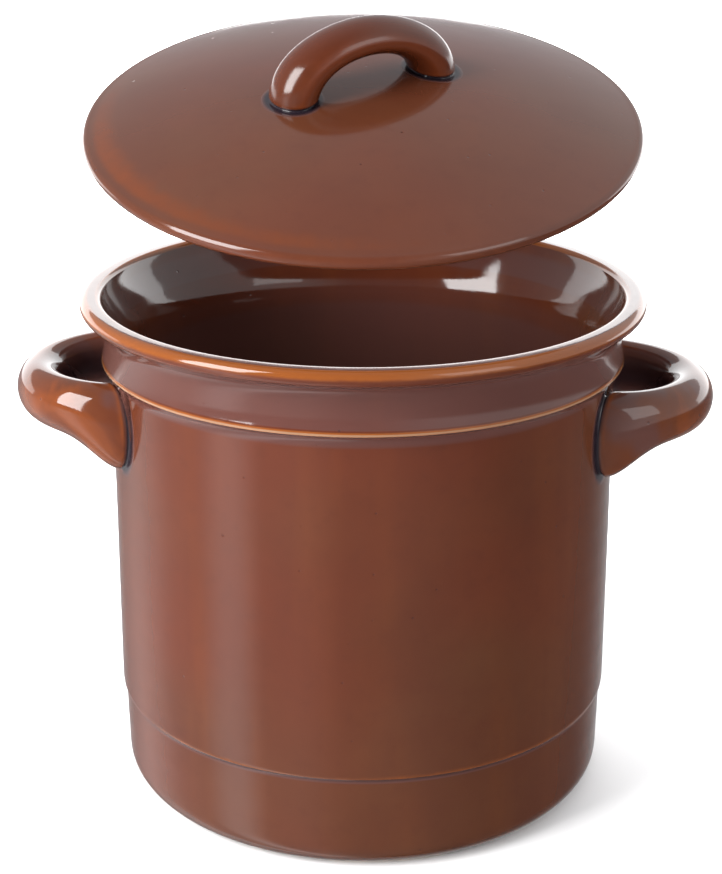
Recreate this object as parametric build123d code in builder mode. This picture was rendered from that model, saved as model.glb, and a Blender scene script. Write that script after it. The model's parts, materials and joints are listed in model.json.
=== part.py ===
from build123d import *
import os
from math import cos, pi, radians, sin

# Stoneware fermenting crock of about five litres: a thrown pot with a rolled lip and a collar,
# two ear handles luted on under the collar, a lifted lid with its own strap handle, and two
# half-moon weights on the floor of the pot.
# Frame: millimetres, origin on the standing surface at the middle of the foot, +Z up,
# the ear handles along X, the front towards -Y.

os.makedirs("parts", exist_ok=True)

# ---- driving dimensions: pot ----
pot_height = 202.0
rim_radius = 110.0
lip_bead = 3.2              # radius of the lip's outer rounding
lip_inner_rounding = 2.2
mouth_radius = 101.4        # inner edge of the lip
neck_radius = 101.2         # outside, just under the lip
neck_drop = 9.6             # how far under the top the neck lies
collar_waist_radius = 100.9
collar_radius = 102.5       # lower edge of the collar
collar_drop = 25.6
ledge_drop = 31.0           # where the hollow under the collar meets the body
ledge_hollow = (1.1, 27.8)  # middle of that hollow: out from the body, down from the top
body_top_radius = 98.8
base_line_radius = 99.4
base_line_height = 40.4
base_step = 1.1             # the band below the base line stands in by this much
base_radius = 97.7
base_rounding = 10.7
foot_inner_radius = 68.0
foot_recess = 5.0
wall = 7.2
inner_radius = body_top_radius - wall
flare_drop = 25.6           # depth at which the flared mouth becomes the straight inner wall
floor_height = 12.0
floor_rounding = 12.0

# ---- driving dimensions: ear handles, one entry a side ----
ear_span = 36.0             # half the distance between the two roots
ear_root_x = 92.0           # where the loop's half ellipse starts
ear_root_depth = 14.0       # straight run into the wall, trimmed by the pot's outside
ear_half_height = 10.8
ear_half_thickness = 9.0
ear_root_half_thickness = 10.0
ear_sharpness = 16.0        # how close to the root the strap starts to flare
left_ear = {"side": -1, "reach": 35.4, "drop": 38.8, "root_drop": 45.2, "root_half_height": 17.0}
right_ear = {"side": 1, "reach": 37.5, "drop": 43.0, "root_drop": 48.6, "root_half_height": 17.0}

# ---- driving dimensions: lid ----
lid_radius = 106.6
lid_edge = 5.4              # thickness of the rounded edge
dome_rise = 16.0
lid_thickness = 6.6
flange_radius = 94.0
flange_width = 6.0
flange_depth = 5.5
lid_tilt = 15.2             # degrees, front edge down, as it is held over the pot
lid_lift = 61.8             # the edge's mid plane above the pot's top
lid_back = 5.0              # the lid's middle behind the pot's axis

# ---- driving dimensions: lid handle ----
strap_turn = 28.0           # degrees from X to the strap's run, seen from above
strap_span = 29.2
strap_rise = 20.0
strap_half_width = 10.6
strap_half_thickness = 6.4
strap_foot_half_width = 11.2
strap_foot_half_thickness = 8.8
strap_root_depth = 7.0
strap_sharpness = 3.0

# ---- driving dimensions: weights ----
weight_radius = 84.0
weight_thickness = 18.0
weight_gap = 6.0            # between the straight sides of the two halves
weight_hole_radius = 9.0
weight_hole_x = 34.0
weight_corner = 8.0
weight_edge = 3.0
seat_gap = 0.3              # kept between a weight and the floor it lies on

stations = 19               # sections along the curved part of each handle


def outer_profile():
    """Adds the pot's outside from the foot ring's inner edge up to the top of the lip."""
    foot_outer = base_radius - base_rounding
    bead_x = rim_radius - lip_bead
    bead_z = pot_height - lip_bead
    corner = base_rounding * (1 - cos(pi / 4))
    Line((foot_inner_radius + foot_recess, 0), (foot_outer, 0))
    ThreePointArc((foot_outer, 0), (base_radius - corner, corner), (base_radius, base_rounding))
    Line((base_radius, base_rounding), (base_line_radius - base_step, base_line_height - base_step))
    Line((base_line_radius - base_step, base_line_height - base_step), (base_line_radius, base_line_height))
    Line((base_line_radius, base_line_height), (body_top_radius, pot_height - ledge_drop))
    ThreePointArc(
        (body_top_radius, pot_height - ledge_drop),
        (body_top_radius + ledge_hollow[0], pot_height - ledge_hollow[1]),
        (collar_radius, pot_height - collar_drop),
    )
    waist = (collar_waist_radius, pot_height - 0.5 * (collar_drop + neck_drop))
    ThreePointArc((collar_radius, pot_height - collar_drop), waist, (neck_radius, pot_height - neck_drop))
    under_lip = (bead_x - 1.2, bead_z - lip_bead + 0.25)
    Line((neck_radius, pot_height - neck_drop), under_lip)
    ThreePointArc(under_lip, (rim_radius, bead_z), (bead_x, pot_height))


def inner_profile():
    """Adds the lip's flat top and inner side, the flared mouth, the straight wall and the rounded floor."""
    lip_inner_x = mouth_radius + lip_inner_rounding
    mouth_z = pot_height - lip_inner_rounding
    corner = lip_inner_rounding * (1 - cos(pi / 4))
    Line((rim_radius - lip_bead, pot_height), (lip_inner_x, pot_height))
    ThreePointArc((lip_inner_x, pot_height), (mouth_radius + corner, pot_height - corner), (mouth_radius, mouth_z))
    flare_end = (inner_radius, pot_height - flare_drop)
    Line((mouth_radius, mouth_z), flare_end)
    Line(flare_end, (inner_radius, floor_height + floor_rounding))
    corner = floor_rounding * (1 - cos(pi / 4))
    ThreePointArc(
        (inner_radius, floor_height + floor_rounding),
        (inner_radius - corner, floor_height + corner),
        (inner_radius - floor_rounding, floor_height),
    )
    Line((inner_radius - floor_rounding, floor_height), (0, floor_height))


def dome_height(radius):
    """Height of the lid's top over its edge's mid plane, on the dome's spherical top."""
    half_chord = lid_radius - lid_edge / 2
    ball = (half_chord**2 + dome_rise**2) / (2 * dome_rise)
    return lid_edge / 2 + dome_rise - ball + (ball**2 - radius**2) ** 0.5


def handle_stations(frame, span, reach, root_depth, drop, size, root_size, sharpness):
    """Section planes of a handle that loops as half an ellipse and ends in two straight roots.

    frame has X along the line between the roots, Y outwards and Z across the strap.
    drop is how far the roots lie below the loop along Z. size and root_size are half extents
    across and through the strap. Each station is (plane, half width, half thickness).
    """
    found = []
    for step in range(-1, stations + 1):
        angle = pi * min(max(step / (stations - 1), 0), 1)
        run = -root_depth if step in (-1, stations) else 0
        flare = abs(cos(angle)) ** sharpness
        middle = Vector(-span * cos(angle), reach * sin(angle) + run, -drop * flare)
        heading = Vector(span * sin(angle), reach * cos(angle), 0)
        ahead = frame.from_local_coords(middle + heading) - frame.from_local_coords(middle)
        plane = Plane(origin=frame.from_local_coords(middle), x_dir=frame.z_dir, z_dir=ahead)
        half_width = size[0] + (root_size[0] - size[0]) * flare
        half_thickness = size[1] + (root_size[1] - size[1]) * flare
        found.append((plane, half_width, half_thickness))
    return found


# ---- pot ----
with BuildPart() as pot_form:
    with BuildSketch(Plane.XZ):
        with BuildLine():
            outer_profile()
            Line((rim_radius - lip_bead, pot_height), (0, pot_height))
            Line((0, pot_height), (0, 0))
            Line((0, 0), (foot_inner_radius + foot_recess, 0))
        make_face()
    revolve(axis=Axis.Z)

with BuildPart() as crock_body:
    with BuildSketch(Plane.XZ):
        with BuildLine():
            outer_profile()
            inner_profile()
            Line((0, floor_height), (0, foot_recess))
            Line((0, foot_recess), (foot_inner_radius, foot_recess))
            Line((foot_inner_radius, foot_recess), (foot_inner_radius + foot_recess, 0))
        make_face()
    revolve(axis=Axis.Z)
crock_body.part.label = "crock_body"

# ---- ear handles ----
ear_handles = {}
for name, ear in (("left_handle", left_ear), ("right_handle", right_ear)):
    ear_frame = Plane(
        origin=(ear["side"] * ear_root_x, 0, pot_height - ear["drop"]),
        x_dir=(0, -ear["side"], 0),
        z_dir=(0, 0, 1),
    )
    ear_sections = handle_stations(
        ear_frame,
        ear_span,
        ear["reach"],
        ear_root_depth,
        ear["root_drop"] - ear["drop"],
        (ear_half_height, ear_half_thickness),
        (ear["root_half_height"], ear_root_half_thickness),
        ear_sharpness,
    )
    with BuildPart() as ear_handle:
        for plane, half_width, half_thickness in ear_sections:
            with BuildSketch(plane):
                Ellipse(half_width, half_thickness)
        loft()
        add(pot_form.part, mode=Mode.SUBTRACT)
    ear_handle.part.label = name
    ear_handles[name] = ear_handle.part

# ---- lid, in its own tilted frame: origin at the middle of the edge's mid plane ----
lid_frame = Plane(
    origin=(0, lid_back, pot_height + lid_lift),
    x_dir=(1, 0, 0),
    z_dir=(0, -sin(radians(lid_tilt)), cos(radians(lid_tilt))),
)
lid_profile = Plane(origin=lid_frame.origin, x_dir=lid_frame.x_dir, z_dir=-lid_frame.y_dir)
lid_axis = Axis(lid_frame.origin, lid_frame.z_dir)
edge = lid_edge / 2
edge_x = lid_radius - edge
flange_inner = flange_radius - flange_width
underside_x = flange_inner - 2.0

with BuildPart() as lid:
    with BuildSketch(lid_profile):
        with BuildLine():
            ThreePointArc((0, dome_height(0)), (edge_x / 2, dome_height(edge_x / 2)), (edge_x, edge))
            ThreePointArc((edge_x, edge), (lid_radius, 0), (edge_x, -edge))
            Line((edge_x, -edge), (flange_radius + 1.0, -edge))
            Line((flange_radius + 1.0, -edge), (flange_radius, -edge - 1.0))
            Line((flange_radius, -edge - 1.0), (flange_radius - 0.8, -edge - flange_depth))
            Line((flange_radius - 0.8, -edge - flange_depth), (flange_inner + 0.8, -edge - flange_depth))
            under_edge = (underside_x, dome_height(underside_x) - lid_thickness)
            Line((flange_inner + 0.8, -edge - flange_depth), under_edge)
            half_way = (underside_x / 2, dome_height(underside_x / 2) - lid_thickness)
            ThreePointArc(under_edge, half_way, (0, dome_height(0) - lid_thickness))
            Line((0, dome_height(0) - lid_thickness), (0, dome_height(0)))
        make_face()
    revolve(axis=lid_axis)
    flange_rims = lid.edges().filter_by(GeomType.CIRCLE).sort_by(lid_axis)[:2]
    fillet(flange_rims, radius=1.6)
lid.part.label = "lid"

# ---- lid handle, trimmed by the lid's filled form ----
with BuildPart() as lid_form:
    with BuildSketch(lid_profile):
        with BuildLine():
            ThreePointArc((0, dome_height(0)), (edge_x / 2, dome_height(edge_x / 2)), (edge_x, edge))
            Line((edge_x, edge), (edge_x, -edge))
            Line((edge_x, -edge), (0, -edge))
            Line((0, -edge), (0, dome_height(0)))
        make_face()
    revolve(axis=lid_axis)

strap_height = dome_height(strap_span) - 1.0
turn = radians(strap_turn)
strap_run = lid_frame.x_dir * cos(turn) + lid_frame.y_dir * sin(turn)
strap_frame = Plane(
    origin=lid_frame.from_local_coords((0, 0, strap_height)),
    x_dir=strap_run,
    z_dir=strap_run.cross(lid_frame.z_dir),
)
strap_sections = handle_stations(
    strap_frame,
    strap_span,
    strap_rise,
    strap_root_depth,
    0,
    (strap_half_width, strap_half_thickness),
    (strap_foot_half_width, strap_foot_half_thickness),
    strap_sharpness,
)
with BuildPart() as lid_handle:
    for plane, half_width, half_thickness in strap_sections:
        with BuildSketch(plane):
            Ellipse(half_width, half_thickness)
    loft()
    add(lid_form.part, mode=Mode.SUBTRACT)
lid_handle.part.label = "lid_handle"

# ---- weights: two half moons that lie side by side on the floor ----
weights = {}
for name, side in (("left_weight", -1), ("right_weight", 1)):
    with BuildPart() as weight:
        with BuildSketch(Plane.XY.offset(floor_height + seat_gap)):
            Circle(weight_radius)
            with Locations((-side * (weight_radius - weight_gap / 2), 0)):
                Rectangle(2 * weight_radius, 2 * weight_radius, mode=Mode.SUBTRACT)
            with Locations((side * weight_hole_x, 0)):
                Circle(weight_hole_radius, mode=Mode.SUBTRACT)
        extrude(amount=weight_thickness)
        fillet(weight.edges().filter_by(Axis.Z), radius=weight_corner)
        flat_faces = weight.faces().filter_by(Plane.XY)
        fillet(flat_faces.edges(), radius=weight_edge)
    weight.part.label = name
    weights[name] = weight.part

# ---- one STEP file a piece ----
pieces = {"crock_body": crock_body.part, **ear_handles, "lid": lid.part, "lid_handle": lid_handle.part, **weights}
for name, piece in pieces.items():
    export_step(piece, f"parts/{name}.step")
    print(name, len(piece.solids()), round(piece.volume / 1000, 1), "cm3")
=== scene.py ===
import json
from math import atan2, ceil, cos, exp, pi, radians, sin, sqrt

import bpy
from mathutils import Matrix, Vector, noise


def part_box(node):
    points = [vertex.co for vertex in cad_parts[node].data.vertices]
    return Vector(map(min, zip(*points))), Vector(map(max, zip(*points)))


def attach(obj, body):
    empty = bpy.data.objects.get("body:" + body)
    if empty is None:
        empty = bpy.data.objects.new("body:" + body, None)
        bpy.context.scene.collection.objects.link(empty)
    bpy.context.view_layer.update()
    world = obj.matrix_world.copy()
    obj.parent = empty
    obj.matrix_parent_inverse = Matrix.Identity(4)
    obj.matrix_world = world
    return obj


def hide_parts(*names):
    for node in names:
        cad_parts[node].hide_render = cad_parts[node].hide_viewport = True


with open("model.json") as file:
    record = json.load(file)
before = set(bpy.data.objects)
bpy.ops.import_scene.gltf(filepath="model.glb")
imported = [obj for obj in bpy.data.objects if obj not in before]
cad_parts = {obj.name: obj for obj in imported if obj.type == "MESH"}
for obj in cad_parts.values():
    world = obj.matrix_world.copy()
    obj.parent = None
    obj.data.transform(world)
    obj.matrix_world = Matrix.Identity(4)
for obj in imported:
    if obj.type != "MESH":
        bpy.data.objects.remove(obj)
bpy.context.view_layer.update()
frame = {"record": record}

MM = 0.001

# ---- the pot's dimensions, millimetres; the overall ones come from the frame ----
_, pot_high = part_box("crock_body")
pot_height = pot_high[2] / MM
rim_radius = pot_high[0] / MM
lip_bead = 3.2
lip_inner_rounding = 2.2
mouth_radius = 101.4
neck_radius = 101.2
neck_drop = 9.6
collar_waist_radius = 100.9
collar_radius = 102.5
collar_drop = 25.6
ledge_drop = 31.0
ledge_hollow = (1.1, 27.8)
body_top_radius = 98.8
base_line_radius = 99.4
base_line_height = 40.4
base_step = 1.1
base_radius = 97.7
base_rounding = 10.7
foot_inner_radius = 68.0
foot_recess = 5.0
inner_radius = 91.6
flare_drop = 25.6
floor_height = 12.0
floor_rounding = 12.0

# ---- ear handles ----
ear_span = 36.0
ear_root_x = 92.0
ear_half_height = 10.8
ear_half_thickness = 9.0
ear_root_half_thickness = 10.0
ear_sharpness = 16.0
ear_root_half_height = 17.0
ear_rim = 2.6            # rounding of the clay where it meets the wall
ear_groove = 1.5         # width of the glaze-filled groove round each root
ears = {
    "left_handle": {"side": -1, "reach": 35.4, "drop": 38.8, "root_drop": 45.2},
    "right_handle": {"side": 1, "reach": 37.5, "drop": 43.0, "root_drop": 48.6},
}

# ---- lid and its handle ----
lid_radius = 106.6
lid_edge = 5.4
seat_gap = 0.3
dome_rise = 16.0
lid_thickness = 6.6
flange_radius = 94.0
flange_width = 6.0
flange_depth = 5.5
strap_turn = 28.0
strap_span = 29.2
strap_rise = 20.0
strap_half_width = 10.6
strap_half_thickness = 6.4
strap_foot_half_width = 11.2
strap_foot_half_thickness = 8.8
strap_sharpness = 3.0
strap_rim = 2.0
strap_groove = 1.3

# ---- hand-made wander and mesh density ----
pot_wander = 0.16
pot_rings = 0.04         # the faint rings left by the fingers
lid_edge_wander = 0.12
pot_spacing = 1.4
lid_spacing = 0.9
pot_around = 240
lid_around = 256


# ---------------------------------------------------------------- outlines
def arc(a, b, c, steps):
    """Points of the circular arc from a through b to c, without a itself."""
    (ax, ay), (bx, by), (cx, cy) = a, b, c
    d = 2 * (ax * (by - cy) + bx * (cy - ay) + cx * (ay - by))
    sa, sb, sc = ax * ax + ay * ay, bx * bx + by * by, cx * cx + cy * cy
    ox = (sa * (by - cy) + sb * (cy - ay) + sc * (ay - by)) / d
    oy = (sa * (cx - bx) + sb * (ax - cx) + sc * (bx - ax)) / d
    radius = sqrt((ax - ox) ** 2 + (ay - oy) ** 2)
    start, via, end = (atan2(y - oy, x - ox) for x, y in (a, b, c))
    sweep = (end - start) % (2 * pi)
    if (via - start) % (2 * pi) > sweep:
        sweep -= 2 * pi
    angles = [start + sweep * i / steps for i in range(1, steps + 1)]
    return [(ox + radius * cos(t), oy + radius * sin(t)) for t in angles]


def line(a, b, steps):
    """Points of the straight run from a to b, without a itself."""
    return [
        (a[0] + (b[0] - a[0]) * i / steps, a[1] + (b[1] - a[1]) * i / steps)
        for i in range(1, steps + 1)
    ]


def resample(points, spacing):
    """The same outline with points added wherever they stand more than spacing apart."""
    found = [points[0]]
    for a, b in zip(points, points[1:]):
        length = sqrt((b[0] - a[0]) ** 2 + (b[1] - a[1]) ** 2)
        found += line(a, b, max(1, ceil(length / spacing)))
    return found


def soften(points, reach_at):
    """Rounds an outline's corners: each point is averaged with those within reach_at(point) mm."""
    lengths = [0.0]
    for a, b in zip(points, points[1:]):
        lengths.append(lengths[-1] + sqrt((b[0] - a[0]) ** 2 + (b[1] - a[1]) ** 2))
    found = list(points)
    for i in range(1, len(points) - 1):
        room = min(lengths[i], lengths[-1] - lengths[i])
        width = min(reach_at(points[i]), room / 3) + 1e-9
        total = x = y = 0.0
        for step in (-1, 1):
            j = i if step == 1 else i - 1
            while 0 <= j < len(points) and abs(lengths[j] - lengths[i]) < 3 * width:
                weight = exp(-((lengths[j] - lengths[i]) ** 2) / (2 * width * width))
                total += weight
                x += weight * points[j][0]
                y += weight * points[j][1]
                j += step
        found[i] = (x / total, y / total)
    return found


def turning(points):
    """Signed curvature along an outline, 1/mm, averaged over reach; positive where it bulges."""
    reach = 0.5
    neighbours = 40
    raw = [0.0]
    lengths = [0.0]
    for a, b, c in zip(points, points[1:], points[2:]):
        before = (b[0] - a[0], b[1] - a[1])
        after = (c[0] - b[0], c[1] - b[1])
        size = sqrt(before[0] ** 2 + before[1] ** 2), sqrt(after[0] ** 2 + after[1] ** 2)
        cross = before[0] * after[1] - before[1] * after[0]
        raw.append(2 * cross / (size[0] * size[1] * (size[0] + size[1]) + 1e-9))
        lengths.append(lengths[-1] + size[0])
    raw.append(0.0)
    lengths.append(lengths[-1] + size[1])
    found = []
    for i, here in enumerate(lengths):
        total = value = 0.0
        for j in range(max(0, i - neighbours), min(len(raw), i + neighbours + 1)):
            gap = abs(lengths[j] - here)
            if gap < 3 * reach:
                width = (lengths[min(j + 1, len(raw) - 1)] - lengths[max(j - 1, 0)]) / 2
                weight = width * exp(-gap * gap / (2 * reach * reach))
                total += weight
                value += weight * raw[j]
        found.append(value / max(total, 1e-9))
    return found


def pot_outline():
    """The pot's section: from the middle of its underside, out, up, over the lip, to its floor."""
    foot_outer = base_radius - base_rounding
    bead_x = rim_radius - lip_bead
    bead_z = pot_height - lip_bead
    corner = base_rounding * (1 - cos(pi / 4))
    points = [(0.0, foot_recess)]
    points += line(points[-1], (foot_inner_radius, foot_recess), 20)
    points += line(points[-1], (foot_inner_radius + foot_recess, 0), 3)
    points += line(points[-1], (foot_outer, 0), 8)
    points += arc(points[-1], (base_radius - corner, corner), (base_radius, base_rounding), 16)
    points += line(points[-1], (base_line_radius - base_step, base_line_height - base_step), 20)
    points += line(points[-1], (base_line_radius, base_line_height), 3)
    points += line(points[-1], (body_top_radius, pot_height - ledge_drop), 60)
    hollow = (body_top_radius + ledge_hollow[0], pot_height - ledge_hollow[1])
    points += arc(points[-1], hollow, (collar_radius, pot_height - collar_drop), 10)
    waist = (collar_waist_radius, pot_height - 0.5 * (collar_drop + neck_drop))
    points += arc(points[-1], waist, (neck_radius, pot_height - neck_drop), 16)
    points += line(points[-1], (bead_x - 1.2, bead_z - lip_bead + 0.25), 6)
    points += arc(points[-1], (rim_radius, bead_z), (bead_x, pot_height), 22)
    points += line(points[-1], (mouth_radius + lip_inner_rounding, pot_height), 5)
    corner = lip_inner_rounding * (1 - cos(pi / 4))
    mouth_z = pot_height - lip_inner_rounding
    rounded = (mouth_radius + corner, pot_height - corner)
    points += arc(points[-1], rounded, (mouth_radius, mouth_z), 10)
    flare_end = pot_height - flare_drop
    points += line(points[-1], (inner_radius, flare_end), 24)
    points += line(points[-1], (inner_radius, floor_height + floor_rounding), 50)
    corner = floor_rounding * (1 - cos(pi / 4))
    points += arc(
        points[-1],
        (inner_radius - corner, floor_height + corner),
        (inner_radius - floor_rounding, floor_height),
        12,
    )
    points += line(points[-1], (0.0, floor_height), 22)
    return points


def dome_height(radius):
    """Height of the lid's top over its edge's mid plane."""
    half_chord = lid_radius - lid_edge / 2
    ball = (half_chord**2 + dome_rise**2) / (2 * dome_rise)
    return lid_edge / 2 + dome_rise - ball + sqrt(ball**2 - radius**2)


def lid_outline():
    """The lid's section, from the middle of its underside, out, round the edge and up the dome."""
    edge = lid_edge / 2
    edge_x = lid_radius - edge
    flange_inner = flange_radius - flange_width
    under_x = flange_inner - 2.0
    points = [(0.0, dome_height(0) - lid_thickness)]
    under = (under_x, dome_height(under_x) - lid_thickness)
    half_way = (under_x / 2, dome_height(under_x / 2) - lid_thickness)
    points += arc(points[-1], half_way, under, 40)
    points += line(points[-1], (flange_inner + 0.8, -edge - flange_depth), 6)
    points += line(points[-1], (flange_radius - 0.8, -edge - flange_depth), 5)
    points += line(points[-1], (flange_radius, -edge - 1.0), 5)
    points += line(points[-1], (flange_radius + 1.0, -edge), 2)
    points += line(points[-1], (edge_x, -edge), 7)
    points += arc(points[-1], (lid_radius, 0), (edge_x, edge), 18)
    points += arc(points[-1], (edge_x / 2, dome_height(edge_x / 2)), (0.0, dome_height(0)), 60)
    return points


# ---------------------------------------------------------------- meshes
def finish_mesh(name, points, faces, values, place=None):
    """Makes a smooth-shaded object from points in millimetres and per-point values: bulge, with
    painted light and shade added.
    """
    mesh = bpy.data.meshes.new(name)
    mesh.from_pydata([tuple(c * MM for c in p) for p in points], [], faces)
    if place is not None:
        mesh.transform(place)
    mesh.validate()
    mesh.polygons.foreach_set("use_smooth", [True] * len(mesh.polygons))
    layer = mesh.attributes.new("convex", "FLOAT", "POINT")
    layer.data.foreach_set("value", values)
    mesh.update()
    piece = bpy.data.objects.new(name, mesh)
    bpy.context.scene.collection.objects.link(piece)
    return piece


def turned(name, outline, around, point_value_with_painted_light, place=None, wander=None):
    """A piece turned on the wheel: its outline swept round Z, with both its ends on the axis.

    The function passed in takes radius, height, angle and bulge and gives a point's value: its
    outline's bulge, with painted light and shade added.
    """
    bulge = turning(outline)
    points, values, faces, rows = [], [], [], []
    for (radius, height), value in zip(outline, bulge):
        if radius < 1e-6:
            rows.append([len(points)] * around)
            points.append((0.0, 0.0, height))
            values.append(point_value_with_painted_light(radius, height, 0.0, value))
            continue
        rows.append(list(range(len(points), len(points) + around)))
        for k in range(around):
            angle = 2 * pi * k / around
            spread = radius if wander is None else radius + wander(radius, height, angle)
            points.append((spread * cos(angle), spread * sin(angle), height))
            values.append(point_value_with_painted_light(radius, height, angle, value))
    for low, high in zip(rows, rows[1:]):
        for k in range(around):
            after = (k + 1) % around
            corners = [low[k], low[after], high[after], high[k]]
            faces.append([c for n, c in enumerate(corners) if c not in corners[:n]])
    return finish_mesh(name, points, faces, values, place)


def gradient(surface, p):
    """Outward unit normal of a surface given as a signed distance, by differences."""
    step = 0.05
    found = []
    for axis in range(3):
        shift = Vector((0, 0, 0))
        shift[axis] = step
        found.append(surface(p + shift) - surface(p - shift))
    return Vector(found).normalized()


def strap_loop(
    name, frame_matrix, surface, span, reach, drop, size, root_size, sharpness, rim, groove,
    place=None,
):
    """A clay strap that loops off a wall, with a rounded rim at each root, and pooled glaze and
    painted shade round it.

    frame_matrix takes the loop's frame, X along the roots, Y outwards, Z across the strap, to the
    piece's own frame. surface(p) is the distance of a point from the wall the roots sit on.
    drop is how far the roots hang below the strap's middle. A place is given for the lid's strap
    only. The glaze that lies on the wall gets the wall's material, the strap its own.
    """
    along, round_it = 80, 64
    groove_rings = 6
    touching = 0.02          # a point this close to the wall has met it
    turns = [2 * pi * k / round_it for k in range(round_it)]
    across = Vector((0, 0, 1))

    def point(angle, turn):
        """A point of the strap's skin; angles past 0 or pi run straight on into the wall."""
        held = min(max(angle, 0.0), pi)
        flare = abs(cos(held)) ** sharpness
        half_width = size[0] + (root_size[0] - size[0]) * flare
        half_thickness = size[1] + (root_size[1] - size[1]) * flare
        run = reach * sin(held) + reach * (min(angle, 0.0) - max(angle - pi, 0.0))
        middle = Vector((-span * cos(held), run, -drop * flare))
        side = across.cross(Vector((span * sin(held), reach * cos(held), 0)).normalized())
        radial = across * half_width * cos(turn) + side * half_thickness * sin(turn)
        skin = frame_matrix @ (middle + radial)
        height = surface(skin)
        if height < rim:
            inwards = (frame_matrix.to_3x3() @ radial).normalized()
            skin -= inwards * (rim - sqrt(max(rim * rim - (rim - max(height, 0.0)) ** 2, 0.0)))
        return skin

    def landing(turn, last):
        """The loop angle at which this line of the skin meets the wall, on the way to last."""
        steps = 60
        before = pi / 2
        for i in range(1, steps + 1):
            angle = pi / 2 + (last - pi / 2) * i / steps
            if surface(point(angle, turn)) < touching:
                low, high = before, angle
                for _ in range(24):
                    middle = (low + high) / 2
                    if surface(point(middle, turn)) < touching:
                        high = middle
                    else:
                        low = middle
                return (low + high) / 2
            before = angle
        return last

    def clear_of(start, end, turn, gap):
        """The loop angle at which the skin stands a gap off the wall, going from start to end."""
        low, high = start, start + 0.5 * (end - start)
        for _ in range(24):
            middle = (low + high) / 2
            if surface(point(middle, turn)) < gap:
                low = middle
            else:
                high = middle
        return high

    starts = [landing(t, -0.6) for t in turns]
    ends = [landing(t, pi + 0.6) for t in turns]
    near = [clear_of(a, b, t, groove) for a, b, t in zip(starts, ends, turns)]
    far = [clear_of(b, a, t, groove) for a, b, t in zip(starts, ends, turns)]

    def skirt(angles, meets):
        """Rings from the skin down into the groove and out over the wall, with their values of
        pooled glaze and painted shade.
        """
        landings = [point(m, t) for m, t in zip(meets, turns)]
        centre = sum(landings, Vector((0, 0, 0))) / round_it
        aprons = tuple(groove * share for share in (0.25, 0.6, 1.0, 1.5, 2.1, 2.8))
        rings = [[] for _ in range(groove_rings + len(aprons))]
        for k, t in enumerate(turns):
            here = landings[k]
            tangent = landings[(k + 1) % round_it] - landings[k - 1]
            away = tangent.cross(gradient(surface, here)).normalized()
            if away.dot(here - centre) < 0:
                away = -away
            top = point(angles[k], t)
            foot = here + away * groove
            for n in range(groove_rings):
                s = (n + 1) / groove_rings
                rings[n].append(top * (1 - s) ** 2 + here * 2 * s * (1 - s) + foot * s * s)
            for n, reached in enumerate(aprons):
                p = foot + away * reached
                lift = 0.10 * (1 - reached / aprons[-1])
                lift -= 0.25 if n == len(aprons) - 1 else 0.0
                normal = gradient(surface, p)
                squareness = max(normal.dot(gradient(surface, p)), 0.5)
                rings[groove_rings + n].append(p + normal * (lift - surface(p) / squareness))
        # pooled glaze in the groove, then painted shade spread out over the wall round the root,
        # fading off
        pool_and_painted_shade = [-0.4, -0.7, -0.9, -1.0, -1.0, -0.9, -0.75, -0.65, -0.52, -0.38, -0.22, -0.04]
        return rings, [[value] * round_it for value in pool_and_painted_shade]

    a, b = size
    first_rings, first_bulges_and_shade = skirt(near, starts)
    last_rings, last_bulges_and_shade = skirt(far, ends)
    rings, bulges_and_shade = first_rings[::-1], first_bulges_and_shade[::-1]
    for i in range(along + 1):
        share = 0.5 - 0.5 * cos(pi * i / along)
        rings.append([point(n + (f - n) * share, t) for n, f, t in zip(near, far, turns)])
        heights = [surface(p) for p in rings[-1]]
        curves = [a * b / ((a * sin(t)) ** 2 + (b * cos(t)) ** 2) ** 1.5 for t in turns]
        rims = [0.22 * exp(-(((h - rim * 0.75) / (rim * 0.5)) ** 2)) for h in heights]
        pools = [0.9 * exp(-((h / (groove * 1.1)) ** 2)) for h in heights]
        # painted shade on the ears: darker on the loop's inner face, towards the wall, and on its
        # underside
        painted_ear_shade = [0.0] * round_it
        if place is None:
            painted_ear_shade = [0.55 * max(0.0, -sin(t)) ** 1.5 + 0.16 * max(0.0, -cos(t)) for t in turns]
        bulges_and_shade.append([c + r - p - q for c, r, p, q in zip(curves, rims, pools, painted_ear_shade)])
    rings += last_rings
    bulges_and_shade += last_bulges_and_shade

    points = [tuple(p) for ring in rings for p in ring]
    values = [v for row in bulges_and_shade for v in row]
    faces = []
    for i in range(len(rings) - 1):
        for k in range(round_it):
            after = (k + 1) % round_it
            low, high = i * round_it, (i + 1) * round_it
            faces.append([low + k, low + after, high + after, high + k])
    faces.append(list(range(round_it))[::-1])
    last = (len(rings) - 1) * round_it
    faces.append([last + k for k in range(round_it)])
    piece = finish_mesh(name, points, faces, values, place)
    piece.data.materials.append(handle_glaze if place is None else strap_glaze)
    piece.data.materials.append(pot_glaze if place is None else lid_glaze)
    wall_rings = 6
    for n, face in enumerate(piece.data.polygons):
        ring = n // round_it
        if ring < wall_rings or len(rings) - 1 - wall_rings <= ring < len(rings) - 1:
            face.material_index = 1
    return piece


# ---------------------------------------------------------------- materials
tan = (0.26, 0.140, 0.078)              # glaze broken over a sharp edge
lilac = (0.078, 0.037, 0.034)           # milky where it lies thick; also the painted shade under the lip and inside the pot
blue_black = (0.014, 0.009, 0.013)      # pooled; also the painted shade round the ear roots, behind the ears and on their inner faces


def nodes_of(name):
    """A new material with its node tree, which holds a Principled shader and an output."""
    material = bpy.data.materials.new(name)
    material.use_nodes = True
    tree = material.node_tree
    shader = next(n for n in tree.nodes if n.type == "BSDF_PRINCIPLED")
    return material, tree, shader


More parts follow.
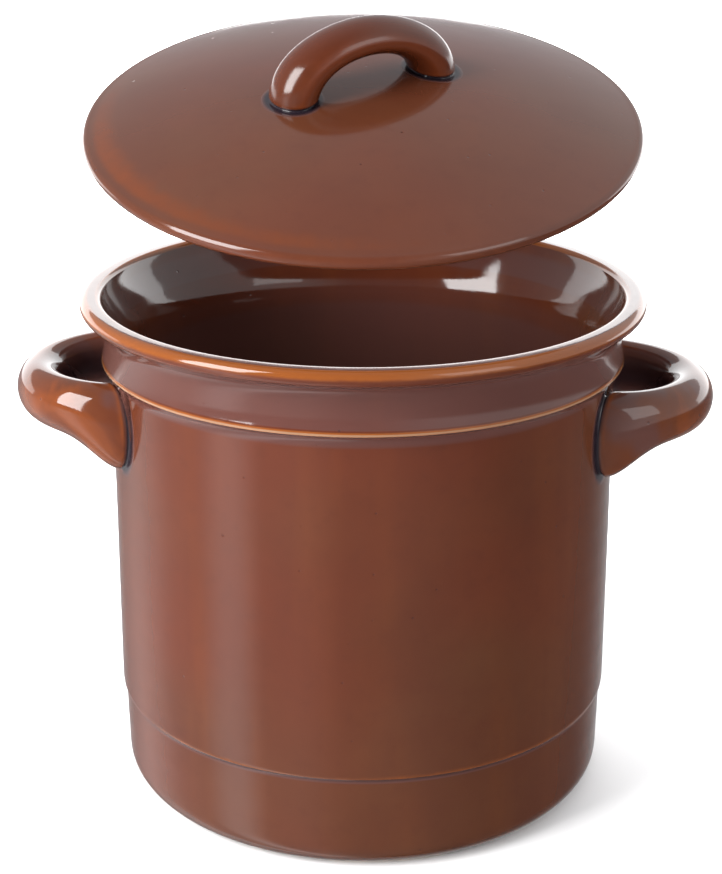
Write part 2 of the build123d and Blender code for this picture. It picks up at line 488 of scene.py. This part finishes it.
def add(tree, kind, **inputs):
    """A node with some of its inputs set; names with a leading underscore set properties."""
    node = tree.nodes.new(kind)
    for key, value in inputs.items():
        if key.startswith("_"):
            setattr(node, key[1:], value)
        else:
            node.inputs[key.replace("_", " ")].default_value = value
    return node


def span(tree, source, low, high, to_low=0.0, to_high=1.0):
    """Maps low..high of a value onto to_low..to_high, clamped."""
    node = add(tree, "ShaderNodeMapRange", _interpolation_type="SMOOTHSTEP")
    limits = {"From Min": low, "From Max": high, "To Min": to_low, "To Max": to_high}
    for key, value in limits.items():
        node.inputs[key].default_value = value
    tree.links.new(source, node.inputs["Value"])
    return node.outputs["Result"]


def mix(tree, factor, a, b):
    """Mixes two colours by a factor; each may be a colour or a socket."""
    node = tree.nodes.new("ShaderNodeMix")
    node.data_type = "RGBA"
    for socket, value in ((node.inputs[0], factor), (node.inputs[6], a), (node.inputs[7], b)):
        if isinstance(value, (int, float)):
            socket.default_value = value
        elif isinstance(value, tuple):
            socket.default_value = (*value, 1.0)
        else:
            tree.links.new(value, socket)
    return node.outputs[2]


def glaze(name, body, amber_tone, gloss=(0.05, 0.11), patchy=0.0):
    """Treacle-brown glaze, glassy over all: thin on bulges, milky where thick, dark in pools, with
    painted light and shade.

    The meshes' per-point value says where: above 0 on bulges and painted light, below 0 in hollows
    and painted shade.
    """
    material, tree, shader = nodes_of(name)
    links = tree.links
    where = tree.nodes.new("ShaderNodeTexCoord").outputs["Object"]
    convex = add(tree, "ShaderNodeAttribute", _attribute_name="convex").outputs["Fac"]

    clouds = add(tree, "ShaderNodeTexNoise", Scale=16.0, Detail=4.0, Roughness=0.55)
    links.new(where, clouds.inputs["Vector"])
    stretched = add(tree, "ShaderNodeMapping")
    stretched.inputs["Scale"].default_value = (45.0, 45.0, 5.0)
    links.new(where, stretched.inputs["Vector"])
    runs = add(tree, "ShaderNodeTexNoise", Scale=1.0, Detail=3.0, Roughness=0.5)
    links.new(stretched.outputs["Vector"], runs.inputs["Vector"])
    mottle = add(tree, "ShaderNodeTexNoise", Scale=150.0, Detail=3.0, Roughness=0.6)
    links.new(where, mottle.inputs["Vector"])

    drift = add(tree, "ShaderNodeTexNoise", Scale=7.0, Detail=2.0, Roughness=0.5)
    links.new(where, drift.inputs["Vector"])
    olive = (body[0] * 0.95, body[1] * 1.28, body[2] * 1.22)
    redder = (body[0] * 1.03, body[1] * 0.96, body[2] * 0.92)
    base = mix(tree, span(tree, drift.outputs["Fac"], 0.36, 0.64), redder, olive)
    cloudy = tuple(c * 0.78 for c in body)
    mottled = tuple(c * 0.72 for c in body)
    base = mix(tree, span(tree, clouds.outputs["Fac"], 0.35, 0.70, 0.0, 0.55), base, cloudy)
    base = mix(tree, span(tree, runs.outputs["Fac"], 0.45, 0.75, 0.0, 0.12), base, amber_tone)
    base = mix(tree, span(tree, mottle.outputs["Fac"], 0.50, 0.75, 0.0, 0.20), base, mottled)
    if patchy > 0:
        broken = add(tree, "ShaderNodeTexNoise", Scale=38.0, Detail=3.0, Roughness=0.5)
        broken.inputs["Distortion"].default_value = 0.6
        links.new(where, broken.inputs["Vector"])
        base = mix(tree, span(tree, broken.outputs["Fac"], 0.48, 0.66, 0.0, patchy), base, amber_tone)
        base = mix(tree, span(tree, broken.outputs["Fac"], 0.46, 0.34, 0.0, patchy), base, lilac)

    uneven = tree.nodes.new("ShaderNodeMath")
    uneven.operation = "MULTIPLY_ADD"
    links.new(clouds.outputs["Fac"], uneven.inputs[0])
    uneven.inputs[1].default_value = 0.16
    links.new(convex, uneven.inputs[2])
    speckled = tree.nodes.new("ShaderNodeMath")
    speckled.operation = "MULTIPLY_ADD"
    links.new(mottle.outputs["Fac"], speckled.inputs[0])
    speckled.inputs[1].default_value = 0.12
    links.new(uneven.outputs["Value"], speckled.inputs[2])
    thinness_and_painted_light = speckled.outputs["Value"]
    # amber and tan: thin glaze over bulges and edges, and painted light on the lid's front left
    base = mix(tree, span(tree, thinness_and_painted_light, 0.24, 0.42), base, amber_tone)
    base = mix(tree, span(tree, thinness_and_painted_light, 0.60, 0.88), base, tan)
    # lilac and blue-black: milky and pooled glaze in hollows, and painted shade under the lip,
    # inside the pot, behind the ears, round the ear roots and on the ears' inner faces
    base = mix(tree, span(tree, convex, -0.03, -0.12, 0.0, 0.6), base, lilac)
    base = mix(tree, span(tree, convex, -0.16, -0.62), base, blue_black)

    specks = add(tree, "ShaderNodeTexVoronoi", Scale=90.0)
    links.new(where, specks.inputs["Vector"])
    dots = span(tree, specks.outputs["Distance"], 0.045, 0.020, 0.0, 0.45)
    base = mix(tree, dots, base, blue_black)
    links.new(base, shader.inputs["Base Color"])

    shader.inputs["IOR"].default_value = 1.5
    shader.inputs["Specular IOR Level"].default_value = 0.38
    rough = span(tree, mottle.outputs["Fac"], 0.25, 0.75, *gloss)
    links.new(rough, shader.inputs["Roughness"])

    waves = add(tree, "ShaderNodeTexNoise", Scale=26.0, Detail=2.0, Roughness=0.45)
    links.new(where, waves.inputs["Vector"])
    fine = add(tree, "ShaderNodeTexNoise", Scale=420.0, Detail=1.0, Roughness=0.5)
    links.new(where, fine.inputs["Vector"])
    swell = add(tree, "ShaderNodeBump", Strength=0.30, Distance=0.0006)
    links.new(waves.outputs["Fac"], swell.inputs["Height"])
    peel = add(tree, "ShaderNodeBump", Strength=0.08, Distance=0.0001)
    links.new(fine.outputs["Fac"], peel.inputs["Height"])
    links.new(swell.outputs["Normal"], peel.inputs["Normal"])
    pits = add(tree, "ShaderNodeBump", Strength=0.5, Distance=0.0002)
    links.new(span(tree, specks.outputs["Distance"], 0.02, 0.07), pits.inputs["Height"])
    links.new(peel.outputs["Normal"], pits.inputs["Normal"])
    links.new(pits.outputs["Normal"], shader.inputs["Normal"])
    return material


def bare_clay(name):
    """Unglazed buff stoneware: matt, sandy, with iron specks."""
    material, tree, shader = nodes_of(name)
    links = tree.links
    where = tree.nodes.new("ShaderNodeTexCoord").outputs["Object"]
    clouds = add(tree, "ShaderNodeTexNoise", Scale=35.0, Detail=6.0, Roughness=0.65)
    links.new(where, clouds.inputs["Vector"])
    grit = add(tree, "ShaderNodeTexNoise", Scale=900.0, Detail=2.0, Roughness=0.6)
    links.new(where, grit.inputs["Vector"])
    specks = add(tree, "ShaderNodeTexVoronoi", Scale=260.0)
    links.new(where, specks.inputs["Vector"])
    dark_buff, pale_buff, iron = (0.42, 0.27, 0.16), (0.56, 0.40, 0.26), (0.12, 0.06, 0.03)
    base = mix(tree, span(tree, clouds.outputs["Fac"], 0.3, 0.7), dark_buff, pale_buff)
    base = mix(tree, span(tree, specks.outputs["Distance"], 0.16, 0.08, 0.0, 0.7), base, iron)
    links.new(base, shader.inputs["Base Color"])
    links.new(span(tree, grit.outputs["Fac"], 0.3, 0.7, 0.62, 0.85), shader.inputs["Roughness"])
    bump = add(tree, "ShaderNodeBump", Strength=0.35, Distance=0.0004)
    links.new(grit.outputs["Fac"], bump.inputs["Height"])
    links.new(bump.outputs["Normal"], shader.inputs["Normal"])
    return material


pot_glaze = glaze("pot_glaze", (0.080, 0.0203, 0.0096), (0.180, 0.050, 0.010))
handle_glaze = glaze("handle_glaze", (0.100, 0.0235, 0.0105), (0.155, 0.038, 0.009), patchy=0.65)
strap_glaze = glaze(
    "strap_glaze", (0.070, 0.0130, 0.0045), (0.105, 0.022, 0.006), gloss=(0.14, 0.20)
)
lid_glaze = glaze(
    "lid_glaze", (0.084, 0.0215, 0.0105), (0.112, 0.025, 0.005), gloss=(0.08, 0.13)
)
clay = bare_clay("bare_stoneware")


# ---------------------------------------------------------------- the pot
outside_radius = 96.0        # between the inner wall and the outer one, below the flare
soft_split = 98.0            # past this radius the outline is softened as the outer wall is


def thrown(radius, height, angle):
    """The slight wander of a pot thrown by hand, always inwards so that its size holds."""
    swell = noise.noise(Vector((cos(angle) * 1.3, sin(angle) * 1.3, height * 0.014))) - 1.0
    rings = sin(height * 0.55 + 0.6 * sin(angle)) * 0.5 - 0.5
    held = 0.0 if height < 0.5 else 1.0
    return held * (pot_wander * swell + pot_rings * rings)


def pot_softness(point):
    """How far a corner is rounded: most at the neck under the lip and at the flare's end."""
    radius, height = point
    if radius < soft_split:
        crease = exp(-(((height - (pot_height - flare_drop)) / 11.0) ** 2))
        return 0.6 + 5.0 * crease
    neck = exp(-(((height - (pot_height - neck_drop)) / 4.5) ** 2))
    return 0.45 + 2.2 * neck


pot_points = soften(resample(pot_outline(), pot_spacing), pot_softness)


def ramp(past, length):
    """0 up to where past is 0, then rising to 1 over a length."""
    return min(1.0, max(0.0, past / length))


def pot_glaze_with_painted_shade(radius, height, angle, bulge):
    """Amber on the lip's upper shoulder; lilac painted shade below it down to the ledge, and
    painted shade inside the pot and behind the ears.
    """
    edge_bulge = 0.08            # past this the glaze breaks over an edge
    value = bulge
    drop = pot_height - height
    outside = radius > outside_radius
    if drop < neck_drop and bulge > 0:
        value *= ramp(4.4 - drop, 2.8) if outside else 0.4
    if outside and drop < ledge_drop:
        shade_below_lip = ramp(drop - 3.5, 3.0) * ramp(ledge_drop - drop, 4.0)
        if value < edge_bulge or drop < neck_drop:
            value = max(value, -0.08)
        else:
            value *= 1.6
        # painted shade under the lip: the band down to the ledge is darkened towards lilac
        if value < edge_bulge:
            value -= 0.10 * shade_below_lip
    if outside and drop > ledge_drop:
        value = min(value, 0.19)
    # painted shade inside the pot, darkening further from 18 mm below the rim down
    if not outside and drop < pot_height - floor_height - 1:
        value -= 0.05 + 0.14 * ramp(drop - 18.0, 30.0)
    # painted shade on the wall behind each ear
    if outside and 130 < height < pot_height - 6:
        aside = abs(abs(cos(angle)) * radius - radius)
        shade_behind_ear = exp(-(((height - 160.0) / 16.0) ** 4))
        value -= 0.42 * exp(-((aside / 4.5) ** 2)) * shade_behind_ear
    return value


pot = turned("crock_pot", pot_points, pot_around, pot_glaze_with_painted_shade, wander=thrown)
pot.data.materials.append(pot_glaze)
pot.data.materials.append(clay)
bare_height = 3.1 * MM
bare_radius = 90.5 * MM
for face in pot.data.polygons:
    if face.center.z < bare_height and sqrt(face.center.x**2 + face.center.y**2) < bare_radius:
        face.material_index = 1
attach(pot, "crock")
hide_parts("crock_body")

neck_height = pot_height - neck_drop
outer_wall = [p for p in pot_points if p[0] > outside_radius and base_rounding < p[1] < neck_height]
outer_wall = [p for n, p in enumerate(outer_wall) if n == 0 or p[1] > outer_wall[n - 1][1]]


def wall_radius(height):
    """The pot's outer radius at a height."""
    for (low_r, low_z), (high_r, high_z) in zip(outer_wall, outer_wall[1:]):
        if low_z <= height <= high_z:
            return low_r + (high_r - low_r) * (height - low_z) / (high_z - low_z)
    return outer_wall[0][0] if height < outer_wall[0][1] else outer_wall[-1][0]


def pot_wall(p):
    """Distance of a point from the pot's outer wall, measured level."""
    radius = sqrt(p.x * p.x + p.y * p.y)
    return radius - wall_radius(p.z) - thrown(radius, p.z, atan2(p.y, p.x))


for node_name, ear in ears.items():
    side = ear["side"]
    ear_frame = Matrix(
        (
            (0, side, 0, side * ear_root_x),
            (-side, 0, 0, 0),
            (0, 0, 1, pot_height - ear["drop"]),
            (0, 0, 0, 1),
        )
    )
    ear_piece = strap_loop(
        node_name + "_loop",
        ear_frame,
        pot_wall,
        ear_span,
        ear["reach"],
        ear["root_drop"] - ear["drop"],
        (ear_half_height, ear_half_thickness),
        (ear_root_half_height, ear_root_half_thickness),
        ear_sharpness,
        ear_rim,
        ear_groove,
    )
    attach(ear_piece, "crock")
    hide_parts(node_name)


# ---------------------------------------------------------------- the lid
lift = next(j for j in frame["record"]["behaviour"]["joints"] if j["name"] == "lid_lift")
tilt = -radians(lift["range_deg"][0])
hinge = Vector(lift["pos_m"])
seated = Matrix.Translation((0, 0, (pot_height + seat_gap + lid_edge / 2) * MM))
tipped = Matrix.Translation(hinge) @ Matrix.Rotation(tilt, 4, "X") @ Matrix.Translation(-hinge)
lid_place = tipped @ seated


def lid_wander(radius, height, angle):
    """The lid's edge is not quite round either."""
    swell = noise.noise(Vector((cos(angle) * 1.1 + 5, sin(angle) * 1.1, 0.4))) - 1.0
    return lid_edge_wander * swell * (radius / lid_radius)


lid_points = soften(resample(lid_outline(), lid_spacing), lambda point: 0.5)


shoulder_radius = 100.5


def lid_amber_with_painted_light(radius, height, angle, bulge):
    """Amber on the shoulder just inside the edge, faint all round; painted light makes it strongest
    at the front left, where the window softbox falls.
    """
    if height < lid_edge / 2 - 0.6:
        return min(bulge, 0.0)
    # painted light: the amber is made strongest at the front left, the side the window softbox
    # lights
    lit_front_left = (0.5 + 0.5 * cos(angle - radians(220))) ** 2
    reach = 9.0 if radius < shoulder_radius else 3.0
    return (0.03 + 0.19 * lit_front_left) * exp(-(((radius - shoulder_radius) / reach) ** 2))


lid = turned(
    "lid_saucer", lid_points, lid_around, lid_amber_with_painted_light, place=lid_place, wander=lid_wander
)
lid.data.materials.append(lid_glaze)
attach(lid, "lid")
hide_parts("lid")


def dome(p):
    """Distance of a point above the lid's top, measured along the lid's axis."""
    return p.z - dome_height(min(sqrt(p.x * p.x + p.y * p.y), lid_radius - lid_edge / 2))


strap_frame = (
    Matrix.Translation((0, 0, dome_height(strap_span) - 1.0))
    @ Matrix.Rotation(radians(strap_turn), 4, "Z")
    @ Matrix.Rotation(pi / 2, 4, "X")
)
lid_loop = strap_loop(
    "lid_handle_loop",
    strap_frame,
    dome,
    strap_span,
    strap_rise,
    0,
    (strap_half_width, strap_half_thickness),
    (strap_foot_half_width, strap_foot_half_thickness),
    strap_sharpness,
    strap_rim,
    strap_groove,
    place=lid_place,
)
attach(lid_loop, "lid")
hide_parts("lid_handle")

for weight_name in ("left_weight", "right_weight"):
    weight = bpy.data.objects[weight_name]
    for weight_slot in weight.material_slots:
        weight_slot.material = clay


# ---------------------------------------------------------------- studio
def look_at(thing, target):
    """Turns a light or camera so that its -Z points at a target."""
    thing.rotation_euler = (Vector(target) - thing.location).to_track_quat("-Z", "Y").to_euler()


def softbox(name, azimuth, elevation, distance, width, height, power, target=(0, 0, 0.15)):
    """A soft area light aimed at a target; azimuth 0 is in front of it, positive to its right."""
    data = bpy.data.lights.new(name, "AREA")
    data.shape = "RECTANGLE"
    data.size = width
    data.size_y = height
    data.energy = power
    lamp = bpy.data.objects.new(name, data)
    bpy.context.scene.collection.objects.link(lamp)
    a, e = radians(azimuth), radians(elevation)
    lamp.location = Vector(target) + distance * Vector((sin(a) * cos(e), -cos(a) * cos(e), sin(e)))
    lamp.visible_camera = False
    look_at(lamp, target)
    return lamp


floor_mesh = bpy.data.meshes.new("floor")
floor_half = 9.0
floor_mesh.from_pydata(
    [(x * floor_half, y * floor_half, 0) for x, y in ((-1, -1), (1, -1), (1, 1), (-1, 1))],
    [],
    [(0, 1, 2, 3)],
)
floor = bpy.data.objects.new("floor", floor_mesh)
bpy.context.scene.collection.objects.link(floor)
floor_material, _, floor_shader = nodes_of("studio_floor")
floor_shader.inputs["Base Color"].default_value = (0.86, 0.86, 0.86, 1)
floor_shader.inputs["Roughness"].default_value = 0.8
floor_shader.inputs["Specular IOR Level"].default_value = 0.2
floor_mesh.materials.append(floor_material)
floor.visible_glossy = False     # the glaze mirrors a dimmer table than the floor that lights it

world = bpy.data.worlds.new("studio")
bpy.context.scene.world = world
world.use_nodes = True
sky = world.node_tree
direction = sky.nodes.new("ShaderNodeTexCoord").outputs["Generated"]
split = sky.nodes.new("ShaderNodeSeparateXYZ")
sky.links.new(direction, split.inputs["Vector"])
across, ahead, upwards = (split.outputs[axis] for axis in "XYZ")
# the walls of the room: dim towards the camera, paler behind the crock, bright at its right
room = mix(sky, span(sky, ahead, -0.6, 0.5), (0.26, 0.26, 0.27), (0.66, 0.67, 0.70))
room = mix(sky, span(sky, across, 0.0, 0.7), room, (1.25, 1.26, 1.28))
turned_to = sky.nodes.new("ShaderNodeMath")
turned_to.operation = "ARCTAN2"
sky.links.new(across, turned_to.inputs[0])
sky.links.new(ahead, turned_to.inputs[1])
round_room = turned_to.outputs["Value"]      # 0 behind the crock, negative at its left
# the table the glaze mirrors, below the horizon: from and to in degrees, then its tone past there
table = (0.40, 0.40, 0.41)
for start, end, tone in (
    (-175, -150, (0.75, 0.75, 0.77)),
    (-136, -119, (2.1, 2.1, 2.15)),
    (-117, -97, (0.8, 0.8, 0.82)),
    (-86, -66, (1.1, 1.1, 1.12)),
    (-60, -30, (0.42, 0.42, 0.43)),
    (20, 60, (0.15, 0.15, 0.16)),
    (110, 170, (0.38, 0.38, 0.39)),
):
    table = mix(sky, span(sky, round_room, radians(start), radians(end)), table, tone)
tones = mix(sky, span(sky, upwards, -0.10, -0.02), table, room)
background = next(n for n in sky.nodes if n.type == "BACKGROUND")
sky.links.new(tones, background.inputs["Color"])
background.inputs["Strength"].default_value = 1.0

# azimuth and elevation in degrees, then distance, width and height in metres, then watts
softbox("window_softbox", -59, 27, 1.5, 0.75, 1.05, 45)
softbox("far_window_softbox", 46, 30, 1.6, 0.75, 0.8, 5.0)
low_fill = softbox("low_fill", -50, 12, 1.3, 0.7, 0.35, 7)
low_fill.visible_glossy = False
softbox("back_card", 180, 9, 0.30, 2.2, 0.17, 3.4, target=(0, 0, 0.185))
ceiling = softbox("floor_light", 180, 45, 2.2, 1.8, 1.6, 75, target=(0, 0, 0))
ceiling.rotation_euler = (0, 0, 0)      # shines straight down, behind the crock
ceiling.data.spread = radians(75)
ceiling.visible_glossy = False

# ---- camera: square to the handles, looking down into the mouth ----
eye_aside = -0.0008
eye_back = 0.731
eye_over_rim = 0.2022
pitch = 19.91
focal_over_height = 2.2203      # focal length over the picture's height
camera_data = bpy.data.cameras.new("camera")
sensor = 36.0
camera_data.sensor_width = sensor
camera_data.lens = sensor * focal_over_height
camera = bpy.data.objects.new("camera", camera_data)
camera.location = (eye_aside, -eye_back, pot_high[2] + eye_over_rim)
camera.rotation_euler = (radians(90 - pitch), 0, 0)
bpy.context.scene.collection.objects.link(camera)
bpy.context.scene.camera = camera
bpy.context.scene.view_settings.view_transform = "Standard"
